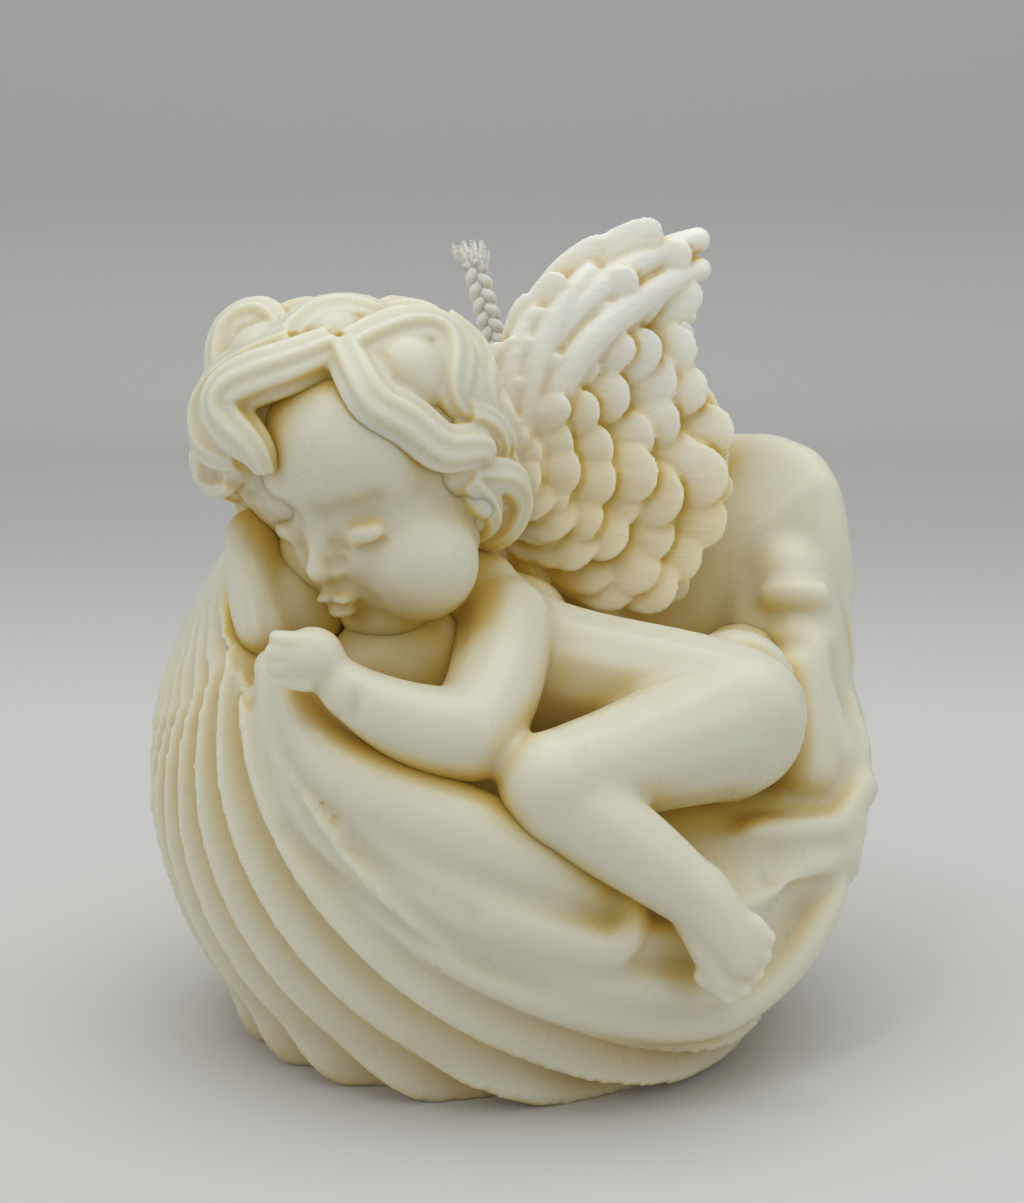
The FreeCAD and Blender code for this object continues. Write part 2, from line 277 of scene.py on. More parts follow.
BALL_CENTRE = np.array((0.0, 0.0, 30.0))
BALL_RADIUS = 39.4
RIB_COUNT = 36
RIB_STEPS = 12  # mesh lines to a rib
RIB_CREST_AT = 0.25  # the steep side of a rib takes a quarter of its width
RIB_HEIGHT = 1.4
RIB_SINK = 0.35  # the middle of the ribs lies this far inside the ball
DRAPED_DROP = 3.0  # how far the ball draws back under the folds
VALLEY_DEPTH = 0.8
FOOT_HEIGHT = 7.0  # the ribs spread over this height above the table
HIGH_POLE = np.array((-31.0, -2.0, 24.0))  # from the ball's centre


def cradle(x, y):
    """The height of the scooped-out top, which slopes to the front and the right."""
    hollow = 6.0 * np.exp(-((x - 25) ** 2 + (y - 6) ** 2) / 150)
    shelf = 4.5 * np.exp(-((x - 33) ** 2 + (y + 9) ** 2) / 110)
    deep = 5.0 * np.exp(-((x + 9) ** 2 + (y + 24) ** 2) / 90)
    return 47.5 - 0.40 * x + 0.62 * y - hollow - shelf - deep


axis = HIGH_POLE / np.linalg.norm(HIGH_POLE)
side = np.cross(axis, (0, 1, 0))
side /= np.linalg.norm(side)
across = np.cross(axis, side)


def swirl(from_pole):
    """How far the ribs have swung round where they leave the high pole, in radians."""
    return np.radians(np.minimum(13 * np.exp(-(np.degrees(from_pole) - 38) / 13), 24))


def rib_relief(from_pole, around):
    """The height of the ribs, from -1 in a valley to 1 on a crest, and the share of the draped side."""
    share = (np.degrees(around) - 72.0) / (360 / RIB_COUNT) + RIB_CREST_AT
    share = share % 1.0
    rise = ease(share / RIB_CREST_AT)
    fall = 1 - (np.maximum(share - RIB_CREST_AT, 0) / (1 - RIB_CREST_AT)) ** 1.25
    profile = np.where(share < RIB_CREST_AT, rise, fall) * 2 - 1
    degrees = np.degrees(around)
    draped = ease((degrees - 73) / 5) * ease((172 - degrees) / 14)
    return profile * ease(np.sin(from_pole) / 0.75) * (1 - draped), draped


def under_shelf(direction):
    """How far each direction from the middle of the ball lies in the valley below the shelf, 0 to 1."""
    turn = np.degrees(np.arctan2(direction[:, 1], direction[:, 0]))
    level = BALL_CENTRE[2] + BALL_RADIUS * direction[:, 2]
    return np.exp(-((turn + 34) / 17) ** 2 - ((level - 17.5) / 4.2) ** 2)


bpy.ops.mesh.primitive_uv_sphere_add(segments=RIB_COUNT * RIB_STEPS, ring_count=170, radius=1)
shell = bpy.context.object
shell.name = shell.data.name = "shell_ball"
unit = points_of(shell) * MM
from_pole = np.arccos(np.clip(unit[:, 2], -1, 1))
around = np.arctan2(unit[:, 1], unit[:, 0])
relief, draped = rib_relief(from_pole, around)
reach = BALL_RADIUS - RIB_SINK + RIB_HEIGHT * relief - DRAPED_DROP * draped
turned = around + swirl(from_pole)
direction = (
    np.outer(np.cos(from_pole), axis)
    + np.outer(np.sin(from_pole) * np.cos(turned), side)
    + np.outer(np.sin(from_pole) * np.sin(turned), across)
)
ball = BALL_CENTRE + direction * (reach - VALLEY_DEPTH * under_shelf(direction))[:, None]
ball[:, 2] = np.minimum(ball[:, 2], cradle(ball[:, 0], ball[:, 1]) + 0.5 * relief)
ball[:, 2] = np.maximum(ball[:, 2], 0)
# where it stands, the near and left ribs end in small lobes that spread over the table
low = ease((FOOT_HEIGHT - ball[:, 2]) / FOOT_HEIGHT)
to_side = np.maximum(np.hypot(ball[:, 0], ball[:, 1]), 1)
near = ease(0.6 - (0.62 * ball[:, 0] + 0.78 * ball[:, 1]) / to_side / 1.2)
ball[:, :2] *= 1 + (low * near * (0.045 + 0.05 * relief))[:, None]
move_points(shell, ball)

# ---- Shell: the folds along the front ------------------------------------------------------------
# Thick soft pleats of the same casting: two broad ones under the arm and the knee, a band below them, the
# rim that sweeps round the front and up on the right, and a small pleat under the foot.


def lump(centre, radii, turn=(0, 0, 0)):
    """A closed egg: its centre, one radius or three, and how it is turned, in degrees."""
    radii = (radii, radii, radii) if isinstance(radii, (int, float)) else radii
    bpy.ops.mesh.primitive_uv_sphere_add(
        segments=32, ring_count=18, radius=1,
        location=Vector(centre) * MM,
        rotation=[math.radians(a) for a in turn],
        scale=[r * MM for r in radii],
    )
    return bpy.context.object


def roll(route, sides=16, section=None):
    """A soft closed tube along points (x, y, z, radius), round unless section gives another outline."""
    bpy.ops.curve.primitive_nurbs_path_add()
    curve = bpy.context.object
    curve.data.splines.clear()
    spline = curve.data.splines.new("NURBS")
    spline.points.add(len(route) - 1)
    for point, (x, y, z, radius) in zip(spline.points, route):
        point.co = (x * MM, y * MM, z * MM, 1)
        point.radius = radius
    spline.order_u = min(4, len(route))
    spline.use_endpoint_u = True
    spline.resolution_u = 10
    curve.data.dimensions = "3D"
    curve.data.use_fill_caps = True
    if section:
        curve.data.bevel_mode = "OBJECT"
        curve.data.bevel_object = section
    else:
        curve.data.bevel_depth = MM
        curve.data.bevel_resolution = sides // 4
    only(curve)
    bpy.ops.object.convert(target="MESH")
    tube = bpy.context.object
    if section:
        return tube
    ends = [lump(end[:3], end[3] * 0.998) for end in (route[0], route[-1])]
    only(*ends, tube)
    bpy.ops.object.transform_apply(location=True, rotation=True, scale=True)
    bpy.ops.object.join()
    return bpy.context.object


def cast(name, lumps, wrap, soften):
    """Joins overlapping shapes into one skin: a wrap of this mesh size, then this many smoothings."""
    only(*lumps)
    bpy.ops.object.transform_apply(location=True, rotation=True, scale=True)
    if len(lumps) > 1:
        bpy.ops.object.join()
    piece = bpy.context.object
    piece.name = piece.data.name = name
    skin = piece.modifiers.new("wrap", "REMESH")
    skin.mode = "VOXEL"
    skin.voxel_size = wrap * MM
    bpy.ops.object.modifier_apply(modifier="wrap")
    if soften:
        smoothing = piece.modifiers.new("soften", "SMOOTH")
        smoothing.factor = 0.5
        smoothing.iterations = soften
        bpy.ops.object.modifier_apply(modifier="soften")
    bpy.ops.object.shade_smooth()
    return piece


UPPER_FOLD = (
    (-22.5, -27.5, 45.2, 1.6), (-20.6, -30.5, 39.6, 3.0), (-15.2, -33.0, 35.6, 4.3),
    (-8.5, -34.0, 32.4, 5.2), (-0.2, -34.0, 29.0, 5.3), (5.1, -33.8, 26.6, 3.9),
    (9.0, -32.0, 24.0, 2.4),
)
LOWER_FOLD = (
    (-20.5, -30.0, 38.6, 1.4), (-16.1, -33.2, 33.2, 2.6), (-10.8, -35.4, 28.6, 3.4),
    (-5.1, -36.4, 25.0, 3.7), (1.9, -36.4, 21.9, 3.4), (7.2, -35.6, 19.9, 2.7),
    (10.8, -35.0, 19.0, 2.1), (12.6, -34.6, 21.6, 1.7), (12.5, -33.2, 24.2, 1.2),
)
RIM = (
    (-24.6, -24.3, 46.0, 2.0), (-24.0, -28.0, 39.4, 2.0), (-21.2, -31.0, 32.8, 2.2),
    (-17.2, -33.4, 28.6, 2.4), (-10.8, -35.4, 22.5, 2.6), (-5.0, -35.9, 18.6, 2.7),
    (6.1, -34.6, 12.6, 2.6), (17.2, -29.0, 8.9, 2.5), (22.6, -24.4, 8.3, 2.4), (30.0, -17.6, 11.5, 2.3),
    (34.2, -13.4, 17.0, 2.2), (37.0, -8.0, 24.5, 2.0),
)
PLEATS = (
    # the broad band between the folds and the rim, and the small pleat under the foot
    ((-14.0, -34.2, 26.0, 2.4), (-5.4, -35.6, 20.8, 3.0), (5.0, -35.0, 16.6, 3.2), (14.0, -31.6, 14.0, 3.3),
     (21.0, -26.4, 13.0, 3.0)),
    ((17.4, -31.6, 24.5, 1.3), (18.8, -30.8, 20.0, 1.8), (20.6, -28.4, 15.0, 2.0),
     (20.8, -26.2, 11.5, 1.6)),
)
pillow = lump((-11.0, -17.6, 43.6), (8.5, 6.5, 7.6))  # under the cheek and the near arm
ledge = lump((27.5, -9.4, 24.9), (8.0, 5.6, 2.2))  # flat wax behind the edge beside the foot
drape = [pillow, ledge, roll(UPPER_FOLD), roll(LOWER_FOLD), roll(RIM)] + [roll(pleat) for pleat in PLEATS]

# the bed under them: the ball again, smooth and a little smaller, with the same scooped top
BED_RADIUS = 37.9
BED_VALLEY_SHARE = 0.045
bpy.ops.mesh.primitive_uv_sphere_add(segments=160, ring_count=90, radius=BED_RADIUS * MM)
bed = bpy.context.object
bed_points = points_of(bed)
bed_points -= bed_points * BED_VALLEY_SHARE * under_shelf(bed_points / BED_RADIUS)[:, None]
bed_points += BALL_CENTRE
bed_points[:, 2] = np.minimum(bed_points[:, 2], cradle(bed_points[:, 0], bed_points[:, 1]) + 0.2)
bed_points[:, 2] = np.maximum(bed_points[:, 2], 1.0)
move_points(bed, bed_points)
drape.append(bed)

# ---- Shell: the lip on the right ----------------------------------------------------------------
# The wall of the shell that stands up behind the cherub's hips and leans out a little. It thins to a
# rolled edge, is scooped inside, and carries small ruffles down its near end. Ball, folds and lip are
# one skin, so the three sections make one piece, the shell.


def lofted(rings):
    """A closed shape through rings of the same number of points, with a cap at each end."""
    mesh = bpy.data.meshes.new("loft")
    count = len(rings[0])
    faces = [tuple(range(count)), tuple(range(len(rings) * count - 1, (len(rings) - 1) * count - 1, -1))]
    for r in range(len(rings) - 1):
        for i in range(count):
            j = (i + 1) % count
            faces.append((r * count + j, r * count + i, (r + 1) * count + i, (r + 1) * count + j))
    mesh.from_pydata([[c * MM for c in point] for ring in rings for point in ring], [], faces)
    piece = bpy.data.objects.new("loft", mesh)
    bpy.context.collection.objects.link(piece)
    only(piece)
    bpy.ops.object.mode_set(mode="EDIT")
    bpy.ops.mesh.select_all(action="SELECT")
    bpy.ops.mesh.normals_make_consistent(inside=False)
    bpy.ops.object.mode_set(mode="OBJECT")
    return piece


def normals_of(piece):
    """The outward direction at each point of a mesh, as rows."""
    rows = np.empty(len(piece.data.vertices) * 3)
    piece.data.vertex_normals.foreach_get("vector", rows)
    return rows.reshape(-1, 3)


def carve(piece, line, width, depth):
    """Presses a groove along a line of points, or with a negative depth raises a ridge. Millimetres."""
    rows = points_of(piece)
    line = np.array(line, float)
    nearest = np.full(len(rows), 1e9)
    for a, b in zip(line[:-1], line[1:]):
        along = np.clip(((rows - a) @ (b - a)) / ((b - a) @ (b - a)), 0, 1)
        nearest = np.minimum(nearest, np.linalg.norm(rows - a - along[:, None] * (b - a), axis=1))
    press = depth * np.exp(-(nearest / width) ** 2)
    move_points(piece, rows - normals_of(piece) * press[:, None])


def finish_piece(piece, material, *nodes, slot="wax"):
    """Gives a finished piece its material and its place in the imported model."""
    piece.data.materials.clear()
    piece.data.materials.append(material)
    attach(piece, "root")
    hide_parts(*nodes)


LIP_EDGE = (
    # direction about the middle in degrees, radius and height of the edge, and its half thickness
    (-56, 33.0, 8.6, 1.8), (-44, 33.6, 9.2, 1.8), (-34, 34.6, 11.2, 1.9), (-26, 36.4, 16.0, 2.0),
    (-18, 38.6, 23.0, 2.1), (-10, 39.9, 29.4, 2.1), (-3, 40.0, 33.6, 2.1), (4, 38.4, 38.8, 2.0),
    (9, 37.4, 44.2, 2.1), (12, 37.8, 49.6, 2.3), (15, 39.2, 54.8, 2.6), (19, 40.1, 59.4, 2.8),
    (25, 40.0, 62.2, 2.8), (34, 38.8, 63.2, 2.7), (46, 37.6, 62.4, 2.5), (60, 36.8, 61.0, 2.4),
    (76, 36.2, 59.6, 2.3), (92, 35.6, 58.8, 2.2), (108, 35.0, 58.2, 2.1), (124, 34.2, 57.6, 2.0),
    (140, 33.4, 57.0, 1.9), (156, 32.6, 56.0, 1.8), (170, 31.8, 54.6, 1.6),
)
LIP_BALL_RADIUS = 39.2  # low down, the outside of the lip follows the ball just inside its surface


def lip_ring(turn, radius, height, half):
    """One slice through the lip: up the outside, over the rolled edge, and down the scooped inside."""
    widest = min(height - half, 30.0)
    outside = []
    for step in (0.0, 0.33, 0.67, 1.0):
        level = 5.0 + (widest - 5.0) * step
        outside.append((min(radius, math.sqrt(LIP_BALL_RADIUS ** 2 - (30.0 - level) ** 2)), level))
    start_radius, start_height = outside[-1]
    rise = height - half - start_height
    wall = []
    for step in (0.25, 0.5, 0.75, 0.95):
        bow = math.sin(step * math.pi) * 0.02 * rise
        wall.append((start_radius + (radius - start_radius) * step + bow, start_height + rise * step))
    edge = []
    for angle in (0, 35, 70, 100, 128):
        a = math.radians(angle)
        edge.append((radius - half + half * math.cos(a), height - half + half * math.sin(a)))
    inside_radius, top_height = edge[-1]
    tall = max(0.0, min(1.0, (height - 24) / 32))
    scoop = 11.0 + 10.0 * tall  # how far the inside runs in towards the middle
    foot_height = height - 3.0 - 13.5 * tall
    low_corner = (inside_radius - 0.36 * scoop, top_height - 0.27 * scoop)
    inside = []
    for t in (0.2, 0.4, 0.6, 0.8, 1.0):
        start, bend, end = (1 - t) ** 2, 2 * t * (1 - t), t * t
        inside.append((
            start * inside_radius + bend * low_corner[0] + end * (inside_radius - scoop),
            start * top_height + bend * low_corner[1] + end * foot_height,
        ))
    inside.append((inside_radius - scoop, foot_height - 8.0))
    inside.append((14.0, min(14.0, foot_height - 8.0)))
    inside = [(r, max(z, 2.0)) for r, z in inside]
    a = math.radians(turn)
    return [(r * math.cos(a), r * math.sin(a), z) for r, z in outside + wall + edge + inside]


def between(rows, share):
    """The row at a share of the way along a list of rows, mixed from the two nearest."""
    at = share * (len(rows) - 1)
    first = min(int(at), len(rows) - 2)
    t = at - first
    return [a + (b - a) * t for a, b in zip(rows[first], rows[first + 1])]


LIP_SLICES = 70
lip_rings = [lip_ring(*between(LIP_EDGE, i / LIP_SLICES)) for i in range(LIP_SLICES + 1)]
RUFFLES = (
    # soft wax between the lip and the hips, two crimps on it, the upright pleat, and the shelf by the foot
    ((31.0, 9.0, 48.0, 5.0), (32.4, 6.4, 43.4, 5.6), (33.2, 4.6, 37.4, 5.4), (33.6, 3.0, 31.0, 5.2)),
    ((27.6, 9.6, 46.0, 4.6), (27.4, 6.0, 41.0, 5.0), (27.6, 3.6, 35.0, 5.0)),
    ((31.0, -1.0, 39.0, 3.6), (31.6, -3.4, 34.4, 4.0), (32.0, -5.0, 29.6, 4.0)),
    ((28.8, 3.6, 47.4, 1.6), (31.4, 2.6, 48.0, 2.2), (34.0, 3.4, 47.6, 1.7)),
    ((29.6, 2.2, 43.0, 1.7), (32.2, 1.4, 43.6, 2.4), (34.4, 2.4, 42.6, 1.9)),
    ((33.2, 0.4, 42.0, 2.0), (32.8, -1.4, 38.6, 2.5), (33.8, -2.6, 34.4, 2.7), (35.6, -3.4, 31.2, 2.8)),
    ((38.0, -4.2, 27.6, 2.3), (35.2, -8.6, 23.2, 2.6), (29.4, -13.2, 24.4, 2.7), (24.2, -16.8, 26.0, 2.4),
     (23.0, -17.8, 23.2, 1.9), (24.0, -18.6, 19.0, 1.4)),
    ((35.0, -9.2, 20.6, 3.2), (31.0, -13.8, 21.0, 3.6), (26.2, -17.2, 22.0, 3.4), (23.4, -17.6, 20.6, 2.6)),
    ((36.0, -1.2, 26.0, 3.6), (31.0, -5.0, 23.8, 4.2), (26.0, -9.2, 23.6, 4.2)),
)
drape += [lofted(lip_rings)] + [roll(ruffle) for ruffle in RUFFLES]
drape = cast("shell_drape", drape, wrap=0.52, soften=14)

# the ribs of the ball run on up the outside of the lip and fade out below its rolled edge
wall = points_of(drape)
offset = wall - BALL_CENTRE
wall_angle = np.arccos(offset @ axis / np.linalg.norm(offset, axis=1))
wall_around = np.arctan2(offset @ across, offset @ side) - swirl(wall_angle)
wall_around = (wall_around + math.pi) % (2 * math.pi) - math.pi
relief, draped = rib_relief(wall_angle, wall_around)
outward = (normals_of(drape) * offset).sum(axis=1) / np.linalg.norm(offset, axis=1)
edge_turns, _, edge_heights, _ = zip(*LIP_EDGE)
edge_height = np.interp(np.degrees(np.arctan2(wall[:, 1], wall[:, 0])), edge_turns, edge_heights)
shown = ease((outward - 0.6) / 0.3)
shown *= ease((edge_height - 1.5 - wall[:, 2]) / 5) * ease((wall[:, 2] - 22) / 6)
move_points(drape, wall + normals_of(drape) * (RIB_HEIGHT * relief * shown)[:, None])
shell = cast("shell", [shell, drape], wrap=0.59, soften=2)

# crisp edges: the shelf beside the foot, the valley under it, and the creases between the folds
SHELF_EDGE = ((23.8, -19.4, 27.2), (29.6, -15.8, 26.2), (35.4, -10.8, 25.2), (38.4, -5.6, 28.2))
SHELF_VALLEY = ((26.6, -21.4, 22.0), (31.6, -17.6, 19.6), (36.0, -11.6, 20.2))
FOLD_CREASE = ((-16.0, -36.8, 30.4), (-10.6, -38.2, 27.6), (-4.0, -39.0, 24.4))
BAND_CREASE = ((-22.6, -31.8, 30.6), (-16.0, -36.0, 25.4), (-8.0, -38.2, 20.6), (3.0, -38.2, 16.2))
carve(shell, SHELF_EDGE, width=1.3, depth=-0.8)
carve(shell, SHELF_VALLEY, width=1.6, depth=0.9)
carve(shell, FOLD_CREASE, width=1.3, depth=0.55)
carve(shell, BAND_CREASE, width=1.2, depth=0.6)
finish_piece(shell, poured_wax, "shell_body", "shell_ribs", "drape_folds", "shell_lip")

# ---- Cherub: body, arms and legs ----------------------------------------------------------------
# The chubby body lies on its front, hips to the right, the near knee drawn up and the near foot hanging
# over the folds. It is one smooth surface in the mould, so it is one piece here.

TORSO = (
    (1.5, -11.5, 42.5, 8.4), (7, -11.5, 41.0, 8.1), (13, -11.8, 40.2, 7.9), (19, -12.3, 38.8, 8.3),
    (23.0, -13, 37.4, 8.4),
)
LEFT_THIGH = (
    (22, -15, 37.0, 8.0), (16, -22, 36.6, 6.6), (9.5, -29.5, 36.8, 5.5), (3.8, -34.0, 36.2, 5.3),
)
LEFT_CALF = (
    (4.4, -34.0, 34.4, 5.0), (8.8, -34.4, 32.0, 4.9), (13.2, -34.6, 28.9, 4.6),
    (18.3, -34.6, 24.6, 3.5),
)
LEFT_FOOT = ((18.4, -34.6, 25.0, 3.5), (21.2, -35.0, 21.6, 3.4), (22.8, -35.2, 18.8, 2.7))
LEFT_ARM = (
    (-1.0, -16, 48.2, 5.4), (-1.0, -22, 46.0, 5.1), (-1.8, -27.5, 43.0, 5.1), (-4.2, -31.5, 40.6, 5.0),
)
LEFT_FOREARM = (
    (-4.2, -31.5, 40.6, 5.0), (-8.0, -32.8, 40.9, 4.8), (-12.0, -33.2, 42.6, 4.0),
    (-16.4, -33.0, 45.6, 2.9),
)
RIGHT_THIGH = ((21, -7, 37.4, 7.4), (25, 0, 37.8, 6.4), (27, 7, 39.5, 5.2))
RIGHT_CALF = (
    (27, 7, 39.5, 5.0), (23, 11.5, 42.0, 4.4), (17.5, 13.5, 45.0, 3.2), (12.5, 12.0, 48.0, 2.8),
)
RIGHT_ARM = ((1.0, -4.5, 46.0, 5.4), (-6.0, 0.0, 48.5, 4.8), (-14.0, 1.5, 50.0, 4.4))
RIGHT_FOREARM = (
    (-14.0, 1.5, 50.0, 4.4), (-21.0, -2.0, 53.0, 4.0), (-26.6, -8.5, 56.0, 3.2),
    (-26.8, -12.5, 56.0, 2.9),
)
RIGHT_HAND = ((-27.2, -12.0, 57.0, 3.2), (-26.6, -15.6, 53.0, 3.9), (-25.6, -17.8, 48.6, 3.4))
NECK = ((-9, -12, 53, 5.6), (-2, -12, 47, 6.4))
limbs = [
    roll(limb) for limb in (
        TORSO, LEFT_THIGH, LEFT_CALF, LEFT_FOOT, LEFT_ARM, LEFT_FOREARM, RIGHT_THIGH, RIGHT_CALF, RIGHT_ARM,
        RIGHT_FOREARM, RIGHT_HAND, NECK,
    )
]
flesh = [
    lump((24.5, -15.0, 38.6), (6.8, 6.4, 6.6)),  # near buttock
    lump((24.0, -7.6, 39.4), (6.8, 6.0, 6.6)),  # far buttock
    lump((-20.0, -32.4, 48.6), (3.6, 2.8, 3.3), (0, -20, 0)),  # palm
    lump((22.6, -35.0, 19.0), (4.6, 2.0, 3.4), (0, -62, 0)),  # ball of the foot
    lump((-21.6, -15.6, 50.6), (4.6, 3.6, 5.4)),  # far palm, under the cheek
    lump((-3.6, -12.6, 51.4), (4.6, 4.6, 4.4)),  # side of the neck
]
body = cast("cherub_body", limbs + flesh, wrap=0.45, soften=20)

# fingers curl over the end of the hand, toes spread along the end of the foot
FINGER_TIPS = ((-23.3, -32.4, 50.7), (-23.8, -32.6, 49.3), (-23.7, -32.8, 47.9), (-22.9, -33.0, 46.6))
digits = []
for x, y, z in FINGER_TIPS:
    digits.append(roll(((x + 2.8, y - 1.0, z - 0.1, 1.0), (x + 1.0, y - 0.8, z, 0.95), (x, y, z, 0.85))))
TOES = (
    # end of each toe and its radius, big toe first
    ((21.8, -35.6, 14.8), 1.2), ((23.2, -35.9, 15.6), 1.05), ((24.4, -35.8, 17.1), 1.0),
    ((25.2, -35.6, 18.8), 0.95), ((25.7, -35.2, 20.5), 0.85),
)
SOLE = ((18.6, -34.6, 22.6, 2.6), (20.0, -34.8, 19.4, 2.4), (21.2, -35.2, 16.4, 1.9))
digits.append(roll(SOLE))
for (x, y, z), radius in TOES:
    root = (x - 2.4, y + 0.5, z + 1.7, radius)
    joint = (x - 0.9, y + 0.1, z + 0.7, radius)
    digits.append(roll((root, joint, (x, y, z, radius))))
body = cast("cherub_body", [body] + digits, wrap=0.325, soften=3)

carve(body, ((31.5, -11.4, 38.5), (28.5, -11.2, 44.0), (24.5, -11.0, 46.4)), width=1.1, depth=1.3)  # cleft
carve(body, ((22.0, -10.6, 47.4), (12.0, -9.4, 48.8), (4.0, -8.6, 50.8)), width=1.6, depth=0.5)  # spine
carve(body, ((-14.9, -36.5, 47.9), (-15.9, -36.2, 43.2)), width=0.7, depth=0.45)  # wrist
carve(body, ((-28.6, -18.6, 57.0), (-27.4, -21.4, 48.5)), width=0.7, depth=0.5)  # between the far fingers
carve(body, ((-26.2, -20.0, 57.0), (-25.0, -22.0, 47.5)), width=0.7, depth=0.5)
finish_piece(body, poured_wax, "torso", "neck", "left_thigh", "left_calf", "left_foot", "left_upper_arm",
             "left_forearm", "left_hand", "right_thigh", "right_calf", "right_forearm", "right_hand")

# ---- Cherub: head -------------------------------------------------------------------------------
# A baby's head with closed eyes, a small round nose and full cheeks. It is modelled upright and facing
# forward about the middle of its skull, then laid over with its near cheek up, as it rests on the arm.

HEAD_CENTRE = Vector((-12.2, -14.8, 66.7))
HEAD_SIZE = 1.06
face_forward = Vector((-0.62, -0.67, -0.41)).normalized()
head_side = face_forward.cross(Vector((-0.35, -0.22, 0.91))).normalized()
head_up = head_side.cross(face_forward)
turn = Matrix((head_side, -face_forward, head_up)).transposed()
head_place = Matrix.Translation(HEAD_CENTRE * MM) @ (turn * HEAD_SIZE).to_4x4()

skull = [
    lump((0, 0.2, 1.2), (10.8, 11.0, 10.9)),
    lump((0, -4.7, -5), (10.0, 9.2, 10.2)),
    lump((0, -6, 3.5), (10, 7.5, 8.5)),
    lump((5.8, -7.2, -7.8), (6.2, 5.8, 6.2)),
    lump((-5.8, -7.2, -7.8), (6.2, 5.8, 6.2)),
    lump((0, -8.6, -12.8), (5.4, 4.4, 3.5)),
]
head = cast("cherub_head", skull, wrap=0.45, soften=22)
features = [
    roll(((0, -11.9, -0.8, 1.1), (0, -12.6, -3.0, 1.15), (0, -13.9, -5.0, 1.45))),
    lump((1.45, -13.0, -5.5), 1.1),
    lump((-1.45, -13.0, -5.5), 1.1),
    lump((1.2, -13.7, -8.4), (1.7, 1.0, 0.75), (0, 12, 0)),
    lump((-1.2, -13.7, -8.4), (1.7, 1.0, 0.75), (0, -12, 0)),
    lump((0, -13.5, -9.9), (1.9, 1.1, 0.85)),
    lump((4.6, -10.9, -2.3), (3.1, 1.9, 1.9)),
    lump((-4.6, -10.9, -2.3), (3.1, 1.9, 1.9)),
    lump((10.0, -0.6, -4.4), (1.2, 2.0, 2.8), (12, 0, 12)),
    lump((-10.0, -0.6, -4.4), (1.2, 2.0, 2.8), (12, 0, -12)),
]
head = cast("cherub_head", [head] + features, wrap=0.27, soften=7)
for mirror in (1, -1):
    # over the lid, the lashes, beside the nose, the cheek fold and the nostril
    lashes = ((2.2 * mirror, -13.0, -2.6), (4.6 * mirror, -13.4, -3.8), (7.2 * mirror, -11.2, -3.0))
    carve(head, ((2.6 * mirror, -12.6, 0.3), (7.4 * mirror, -10.6, 0.5)), width=1.5, depth=0.7)
    carve(head, lashes, width=0.5, depth=0.45)
    carve(head, ((2.9 * mirror, -13.4, -1.8), (2.6 * mirror, -13.6, -4.0)), width=1.1, depth=0.8)
    carve(head, ((2.6 * mirror, -13.9, -6.8), (4.2 * mirror, -13.4, -9.2)), width=0.9, depth=0.45)
    carve(head, ((0.8 * mirror, -15.2, -7.0), (0.9 * mirror, -14.6, -6.9)), width=0.45, depth=0.5)
carve(head, ((-2.6, -14.0, -9.0), (0, -15.0, -9.15), (2.6, -14.0, -9.0)), width=0.42, depth=0.6)  # mouth
carve(head, ((0, -14.8, -6.9), (0, -14.8, -7.9)), width=0.5, depth=0.4)  # lip groove
carve(head, ((-1.8, -13.6, -11.2), (1.8, -13.6, -11.2)), width=0.8, depth=0.5)  # under the lip
head.data.transform(head_place)
finish_piece(head, poured_wax, "head")

# ---- Cherub: hair -------------------------------------------------------------------------------
# Thick wavy locks, cast with the head: each is a tapered roll with fine combed lines along it.

LOCK_SIDES = 40
LOCK_GROOVES = 8
LOCK_RIDGE = 0.085  # the height of the combed lines, as a share of the lock's radius
outline = []
for step in range(LOCK_SIDES):
    a = 2 * math.pi * step / LOCK_SIDES
    ridge = 1 + LOCK_RIDGE * math.cos(LOCK_GROOVES * a)
    outline.append((math.cos(a) * ridge, 0.85 * math.sin(a) * ridge))
bpy.ops.curve.primitive_bezier_circle_add()
lock_outline = bpy.context.object
lock_outline.name = "lock_outline"
lock_outline.data.splines.clear()
ring = lock_outline.data.splines.new("POLY")
ring.points.add(LOCK_SIDES - 1)
for point, (x, y) in zip(ring.points, outline):
    point.co = (x * MM, y * MM, 0, 1)
ring.use_cyclic_u = True

HAIR_CENTRE = np.array((-16.4, -12.5, 67.2))
HAIR_SPREAD = np.array((15.2, 14.0, 14.0))  # to the middle of the locks: to the sides, back and up


def on_hair(x, z, stand=0.0):
    """A point on the near side of the head of hair at this x and height, standing a little off it."""
    x_share, z_share = (np.array((x, z)) - HAIR_CENTRE[[0, 2]]) / HAIR_SPREAD[[0, 2]]
    deep = math.sqrt(max(0.0, 1 - x_share ** 2 - z_share ** 2))
    out = np.array((x_share, -deep, z_share))
    return HAIR_CENTRE + out * (HAIR_SPREAD + stand)


def lock(points, thick, tip=0.42):
    """One lock along points (x, y, z): full in the middle and drawn out towards its end."""
    route = []
    last = len(points) - 1
    for i, point in enumerate(points):
        share = i / last
        swell = math.sin(math.pi * min(1.0, 0.25 + share * 0.75)) ** 0.8
        route.append((*point, thick * (tip + (1 - tip) * swell)))
    return roll(route, section=lock_outline)


